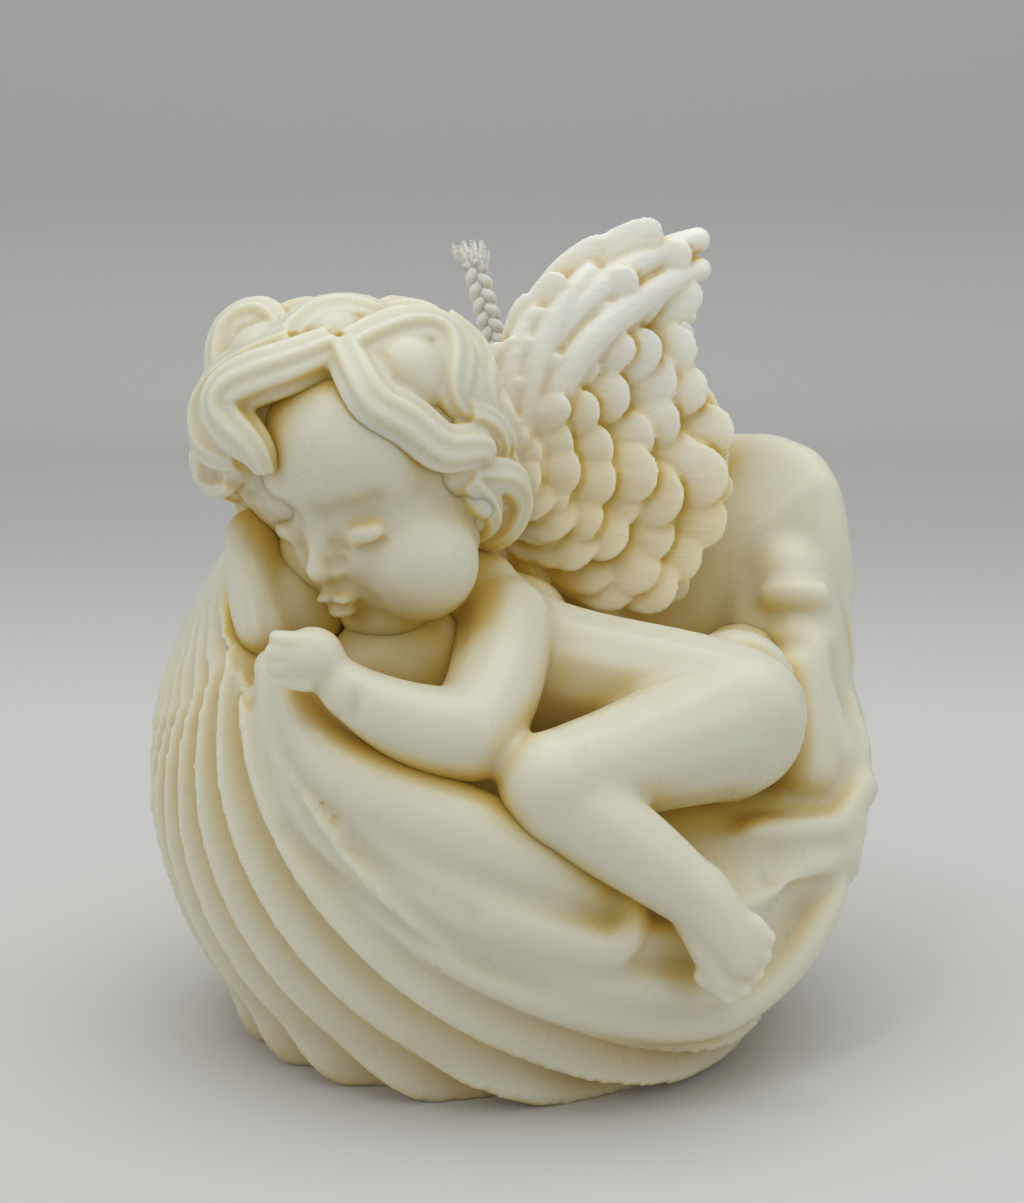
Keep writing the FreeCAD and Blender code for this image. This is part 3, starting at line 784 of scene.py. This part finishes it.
NEAR_LOCKS = (
    # thickness, then the places it passes as x, height and how far it stands off
    (3.0, ((-18.0, 78.0, 0), (-21.3, 76.0, 0.8), (-25.0, 74.6, 1.6), (-28.0, 72.2, 2.0),
           (-27.0, 69.8, 1.6), (-24.6, 68.4, 1.2), (-24.6, 66.2, 0.4))),
    (3.1, ((-21.5, 78.2, 0), (-26.4, 75.8, 0.2), (-29.8, 73.0, 0.2), (-31.0, 69.4, 0.2),
           (-30.2, 66.6, 0.2), (-27.4, 66.8, 0))),
    (2.2, ((-30.8, 67.0, 0.2), (-31.2, 64.4, 0.2), (-30.8, 62.6, 0), (-28.6, 64.2, 0))),
    (2.7, ((-28.8, 74.6, 0), (-29.2, 77.8, 0.0), (-26.8, 80.0, 0.2), (-23.8, 79.4, 0.4),
           (-22.6, 77.6, 0.4))),
    (2.6, ((-16.8, 77.8, 0.4), (-15.2, 75.0, 1.4), (-14.2, 72.4, 1.6), (-11.6, 71.6, 1.4),
           (-9.4, 69.6, 1.2), (-7.6, 68.0, 1.4), (-4.8, 68.8, 1.6), (-3.6, 67.0, 1.2),
           (-6.8, 65.8, 0.2))),
    (3.0, ((-16.4, 77.6, 0), (-12.6, 79.0, 0.6), (-9.4, 78.8, 0.8), (-7.0, 77.2, 1.0),
           (-6.6, 74.6, 1.0), (-7.2, 72.4, 0.6), (-4.6, 71.0, 0.4))),
    (2.8, ((-22.4, 78.2, 0), (-20.4, 80.0, 0.2), (-16.8, 80.8, 0.3), (-13.4, 80.0, 0.3),
           (-10.8, 79.2, 0.2))),
    (2.6, ((-12.8, 76.4, 0.2), (-10.8, 77.0, 0.6), (-10.0, 75.0, 0.4), (-11.0, 72.8, 0))),
    (2.5, ((-7.6, 79.4, 0), (-5.2, 77.2, 0.3), (-3.8, 74.8, 0.4), (-4.4, 72.8, 0.4), (-3.0, 70.8, 0.4),
           (-3.0, 69.4, 0))),
    (2.2, ((-5.6, 71.4, 0.4), (-3.0, 70.6, 0.6), (-1.8, 67.8, 0.4), (-2.0, 65.0, 0.2))),
    (2.4, ((-5.4, 65.8, 0.4), (-3.0, 65.6, 1.2), (-1.2, 63.0, 1.0), (-1.2, 60.0, 1.0),
           (-3.2, 57.6, 1.2), (-4.4, 57.6, 0.2))),
    (2.1, ((-5.8, 65.4, 0.8), (-4.0, 63.0, 1.8), (-3.6, 60.4, 1.8), (-5.0, 58.6, 1.2))),
)
FULLNESS = 1.13  # the near locks swell this much past the thickness given
locks = [lock([on_hair(*place) for place in path], thick * FULLNESS) for thick, path in NEAR_LOCKS]

# round the back of the head: rings of S-shaped locks
draw = random.Random(11)
BACK_RINGS = (
    # degrees above the middle, number of locks, and the first and last direction in degrees
    (62, 5, -10, 170), (36, 7, -30, 178), (10, 8, -28, 182), (-16, 7, -16, 176), (-36, 5, -4, 160),
)
BACK_SWING = (
    # one lock from top to bottom: swing to the side, degrees up, and how far it stands off
    (-0.6, 15, -2.0), (1.0, 8, -0.9), (0.7, -1, -0.3), (-1.0, -8, -0.4), (-0.8, -15, -1.0),
    (0.4, -19, -2.2),
)
for height, number, first, last in BACK_RINGS:
    for i in range(number):
        azimuth = first + (last - first) * (i + 0.5) / number + draw.uniform(-4, 4)
        lean = draw.choice((-1, 1)) * draw.uniform(8, 13)
        points = []
        for swing, rise, stand in BACK_SWING:
            a, h = math.radians(azimuth + lean * swing), math.radians(height + rise)
            out = np.array((math.cos(a) * math.cos(h), math.sin(a) * math.cos(h), math.sin(h)))
            points.append(HAIR_CENTRE + out * (HAIR_SPREAD + stand))
        locks.append(lock(points, draw.uniform(2.8, 3.3)))

# the wax the locks lie on: the head of hair, and fuller places between the near locks
scalp = [
    lump(HAIR_CENTRE + (0.2, 1.9, 0.8), (14.2, 13.7, 13.4)),
    lump(on_hair(-26.0, 77.0, -1.7), 4.5),
    lump(on_hair(-18.0, 79.4, -2.2), 4.4),
    lump(on_hair(-10.4, 75.4, -1.5), (4.8, 4.4, 5.2)),
    lump(on_hair(-4.8, 73.0, -2.0), (4.2, 4.4, 5.4)),
    lump(on_hair(-5.0, 66.8, -1.6), (4.0, 4.2, 4.6)),
    lump(on_hair(-4.4, 61.6, -1.6), (3.8, 3.8, 4.4)),
    lump(on_hair(-29.4, 68.4, -2.2), (3.6, 4.2, 4.4)),
    lump(on_hair(-28.6, 72.8, -1.6), (3.8, 4.0, 4.0)),
    lump(HAIR_CENTRE + (-8.4, -3.6, 2.2), (6.4, 6.6, 7.4)),
    lump(HAIR_CENTRE + (7.6, -5.0, 3.0), (6.0, 5.6, 7.4)),
]
hair = cast("cherub_hair", locks + scalp, wrap=0.26, soften=3)
bpy.data.objects.remove(lock_outline)
finish_piece(hair, poured_wax, "hair")

# ---- Wings --------------------------------------------------------------------------------------
# Two upright wings on the shoulder blades, cast with the body: rows of round-ended feathers laid like
# tiles, the inner rows on top. Being thin, the wax of the feathers is the clearest on the candle.


def feather(length, width, thick):
    """One closed feather lying along +X from its root at the origin, crowned, its tip lifted towards +Z."""
    bpy.ops.mesh.primitive_uv_sphere_add(segments=22, ring_count=16, radius=1)
    piece = bpy.context.object
    rows = points_of(piece)[:, [2, 0, 1]] * MM  # the poles go to the root and the tip
    share = (rows[:, 0] + 1) / 2
    fuller = (1.02 - rows[:, 0] ** 2) ** -0.10
    taper = 0.70 + 0.30 * ease(share * 1.6)
    x = share * length
    y = rows[:, 1] * fuller * taper * width / 2
    z = rows[:, 2] * fuller * thick / 2
    z += 0.07 * length * share ** 2.2 - 0.9 * (y / width) ** 2
    shaft = 0.22 * np.exp(-(y / (0.09 * width)) ** 2) * (1 - share) * np.where(rows[:, 2] > 0, 1, 0)
    move_points(piece, np.stack((x, y, z + shaft), axis=1))
    return piece


# the outline of a wing about the middle of its root: degrees up from straight back, and how far out
WING_OUTLINE = (
    (-96, 6.0), (-85, 7.5), (-72, 10.5), (-62, 14.0), (-53, 18.5), (-44, 23.5), (-36, 25.4),
    (-28, 25.2), (-16, 24.8), (-3, 26.8), (8, 26.6), (20, 25.8), (34, 26.6), (44, 31.0), (51, 34.6),
    (57, 32.4), (65, 29.2), (75, 25.2), (84, 19.4), (94, 15.0), (102, 12.0),
)
# which way the feathers point, for the same angles
WING_SWEEP = (
    (-96, -108), (-53, -60), (-30, -33), (0, -5), (20, 9), (40, 22), (51, 29), (65, 50), (84, 78),
    (102, 98),
)
FEATHER_ROWS = (
    # share of the outline that the tips reach, spacing, feather length and width, and how far it stands out
    (1.00, 5.5, 12.0, 7.6, 0.0), (0.83, 5.3, 10.8, 7.4, 0.8), (0.66, 5.1, 9.6, 7.0, 1.6),
    (0.49, 4.8, 8.4, 6.6, 2.4), (0.33, 4.3, 7.0, 6.0, 3.1), (0.18, 3.4, 5.0, 5.0, 3.7),
)
FEATHER_THICK = 1.25
INNER_SIDE_ROWS = ((0.97, 4.6, 12.0, 5.6, 0.6), (0.72, 4.4, 10.5, 5.2, 1.3), (0.45, 4.2, 9.0, 4.8, 2.0))
LONG_FEATHERS = (
    # the long coverts along the upper edge: out from the root, off the face, up, and radius
    ((3.0, 2.4, 8.0, 1.7), (5.0, 3.0, 15.0, 2.1), (10.6, 2.8, 20.6, 2.0), (17.0, 2.0, 24.0, 1.8),
     (20.8, 1.4, 25.2, 1.4)),
    ((4.0, 3.2, 5.0, 1.8), (6.6, 3.8, 12.0, 2.2), (12.2, 3.2, 17.2, 2.1), (17.8, 2.3, 20.8, 1.8),
     (21.0, 1.8, 22.0, 1.3)),
    ((2.0, 3.0, 3.0, 1.9), (2.2, 3.6, 10.6, 2.2), (5.0, 3.4, 17.0, 2.1), (9.0, 2.6, 21.4, 1.3)),
    ((0.6, 2.6, -2.0, 1.9), (-0.6, 3.2, 6.0, 2.2), (0.8, 3.2, 13.0, 2.0), (3.8, 2.4, 18.6, 1.2)),
)


def feather_row(share, spacing, length, width, stand, stagger, draw, facing):
    """Feathers with their tips along the outline shrunk to a share of its size, evenly spaced along it."""
    degrees = np.arange(-96, 102.5, 0.5)
    radii = np.interp(degrees, *zip(*WING_OUTLINE)) * share
    across = radii * np.cos(np.radians(degrees))
    up = radii * np.sin(np.radians(degrees))
    along = np.concatenate(([0], np.cumsum(np.hypot(np.diff(across), np.diff(up)))))
    number = max(3, round(along[-1] / spacing))
    made = []
    for i in range(number):
        at = along[-1] * (i + 0.25 + 0.5 * stagger) / number + draw.uniform(-0.3, 0.3)
        angle = np.interp(at, along, degrees)
        tip = Vector((np.interp(at, along, across), 0, np.interp(at, along, up)))
        tip *= 1 - draw.uniform(0, 0.09)
        sweep = math.radians(np.interp(angle, *zip(*WING_SWEEP)) + draw.uniform(-9, 9))
        # the long narrow feathers are at the top of the wing
        high = float(ease((angle - 28) / 22))
        size = 1 + draw.uniform(-0.10, 0.10)
        long = length * (1 + 0.25 * high) * size
        one = feather(long, width * (1 - 0.28 * high) * size, FEATHER_THICK)
        out = Vector((math.cos(sweep), 0, math.sin(sweep)))
        face = Vector((0, -facing, 0))
        width_way = face.cross(out)
        lift = math.radians(draw.uniform(6, 11))
        out_lifted = out * math.cos(lift) + face * math.sin(lift)
        face_lifted = face * math.cos(lift) - out * math.sin(lift)
        pose = Matrix((out_lifted, width_way, face_lifted)).transposed().to_4x4()
        pose.translation = (tip - out * long + face * (stand + 0.35 * (i % 2))) * MM
        one.data.transform(pose)
        made.append(one)
    return made


def wing(name, place, seed, facing):
    """A whole wing: tiled feathers on its outer side, long narrow ones inside, and the bone between."""
    draw = random.Random(seed)
    pieces = []
    for number, row in enumerate(FEATHER_ROWS):
        pieces += feather_row(*row, number % 2, draw, facing)
    for number, row in enumerate(INNER_SIDE_ROWS):
        share, spacing, length, width, stand = row
        pieces += feather_row(share, spacing, length, width, stand, number % 2, draw, -facing)
    bone = roll((
        (3.0, 0, -12.0, 2.2), (1.2, 0, -4.0, 2.8), (1.0, 0, 6.0, 2.8), (2.2, 0, 14.0, 2.4),
        (7.0, 0, 20.0, 1.8), (13.0, 0, 22.5, 1.2),
    ))
    long_feathers = [
        roll([(x, -facing * y, z, radius) for x, y, z, radius in route]) for route in LONG_FEATHERS
    ]
    pieces += long_feathers
    core = lump((11.5, 0, 2.0), (13.0, 1.5, 13.0))
    only(*pieces, bone, core)
    bpy.ops.object.transform_apply(location=True, rotation=True, scale=True)
    bpy.ops.object.join()
    piece = bpy.context.object
    piece = cast(name, [piece], wrap=0.25, soften=1)
    piece.data.transform(place)
    return piece


def stand_wing(root, lean, swing, size):
    """Places a wing: its root, how far it leans back and swings outward in degrees, and its size."""
    turn = Matrix.Rotation(math.radians(swing), 4, "Z") @ Matrix.Rotation(math.radians(lean), 4, "X")
    return Matrix.Translation(Vector(root) * MM) @ turn @ Matrix.Scale(size, 4)


# honey is painted shade between the feathers, and warm paints more of it low on the wings
thin_wax = wax("thin_soy_wax", cream="ECECE3", honey="DABE58", depth=3.4, clear=1.6, strands=2.4,
               warm=0.36)
left_wing = wing("left_wing_feathers", stand_wing((-0.6, 2.2, 61.6), -9, 0, 1.0), seed=4, facing=1)
finish_piece(left_wing, thin_wax, "left_wing")
right_wing = wing("right_wing_feathers", stand_wing((4.6, 13.6, 59.4), -9, 12, 0.80), seed=9, facing=-1)
finish_piece(right_wing, thin_wax, "right_wing")

# ---- Wick ---------------------------------------------------------------------------------------
# A flat cotton braid of three strands, stiff with wax where it leaves the casting behind the wings.
# It leans to the left, and its cut end has frayed into single yarns.

WICK_FOOT = Vector((-0.3, 17.0, 50.0))
WICK_BEND_FROM = 62.0
WICK_BEND_RADIUS = 42.0
WICK_LEAN = math.radians(14)
WICK_LENGTH = 36.0
BRAID_PITCH = 5.2
BRAID_END = 33.5


def on_wick(run):
    """The middle of the wick and its direction, this far up from its foot."""
    straight = WICK_BEND_FROM - WICK_FOOT.z
    lean = min(max((run - straight) / WICK_BEND_RADIUS, 0), WICK_LEAN)
    centre = WICK_FOOT + Vector((0, 0, min(run, straight)))
    centre += Vector((math.cos(lean) - 1, 0, math.sin(lean))) * WICK_BEND_RADIUS
    past = max(0.0, run - straight - WICK_BEND_RADIUS * WICK_LEAN)
    ahead = Vector((-math.sin(lean), 0, math.cos(lean)))
    return centre + ahead * past, ahead


def yarn_point(run, across, deep, radius):
    """A point of a yarn: how far up the wick, off its middle to the side and back, and its radius."""
    centre, ahead = on_wick(run)
    sideways = Vector((ahead.z, 0, -ahead.x))
    return (*(centre + sideways * across + Vector((0, 1, 0)) * deep), radius)


strands = []
for number in range(3):
    route = []
    for step in range(round(BRAID_END * 2) + 1):
        run = step * 0.5
        phase = 2 * math.pi * (run / BRAID_PITCH + number / 3)
        route.append(yarn_point(run, 0.80 * math.sin(phase), 0.40 * math.sin(2 * phase), 0.74))
    strands.append(roll(route, sides=8))
FRAYED_YARNS = 26
fray = random.Random(3)
for number in range(FRAYED_YARNS):
    phase = 2 * math.pi * number / FRAYED_YARNS
    spread = fray.uniform(0.8, 1.9)
    across, deep = math.cos(phase), 0.6 * math.sin(phase)
    start = BRAID_END - fray.uniform(1.5, 3.0)
    length = fray.uniform(3.2, 5.0)
    strands.append(roll((
        yarn_point(start, across * 0.5, deep * 0.4, 0.24),
        yarn_point(start + length * 0.4, across * (0.8 + 0.25 * spread), deep * 0.8, 0.25),
        yarn_point(start + length * 0.75, across * (0.8 + 0.6 * spread), deep * 1.1, 0.21),
        yarn_point(min(start + length, WICK_LENGTH), across * (0.8 + 0.8 * spread), deep * 1.5, 0.13),
    ), sides=4))
only(*strands)
bpy.ops.object.join()
wick = bpy.context.object
wick.name = wick.data.name = "cotton_wick"
bpy.ops.object.shade_smooth()

# Bleached cotton braid with wax in it: dull, a little see-through, fine yarn lines.
cotton = blank_material("waxed_cotton_braid")
place = add(cotton, "ShaderNodeTexCoord").outputs["Object"]
stretch = add(cotton, "ShaderNodeMapping", {"Scale": (1, 1, 0.22)}, {"Vector": place})
yarn = add(cotton, "ShaderNodeTexNoise", {"Scale": 1 / (0.35 * MM), "Detail": 4.0},
           {"Vector": stretch.outputs[0]})
shade = add(cotton, "ShaderNodeMix", {6: linear("E6E3D8"), 7: linear("FBFAF6")}, {0: yarn.outputs["Fac"]},
            data_type="RGBA")
rise = add(cotton, "ShaderNodeBump", {"Strength": 0.6, "Distance": 0.12 * MM},
           {"Height": yarn.outputs["Fac"]})
skin = add(cotton, "ShaderNodeBsdfPrincipled",
           {"Roughness": 0.72, "IOR": 1.46, "Subsurface Weight": 0.4, "Subsurface Radius": (1.0, 0.9, 0.7),
            "Subsurface Scale": 0.8 * MM, "Sheen Weight": 0.15},
           {"Base Color": shade.outputs[2], "Normal": rise.outputs["Normal"]})
add(cotton, "ShaderNodeOutputMaterial", (), {"Surface": skin.outputs["BSDF"]})
finish_piece(wick, cotton, "wick", slot="wick")

size = {"cad": [list(corner) for corner in cad_box], "visual": [list(corner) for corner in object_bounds()]}
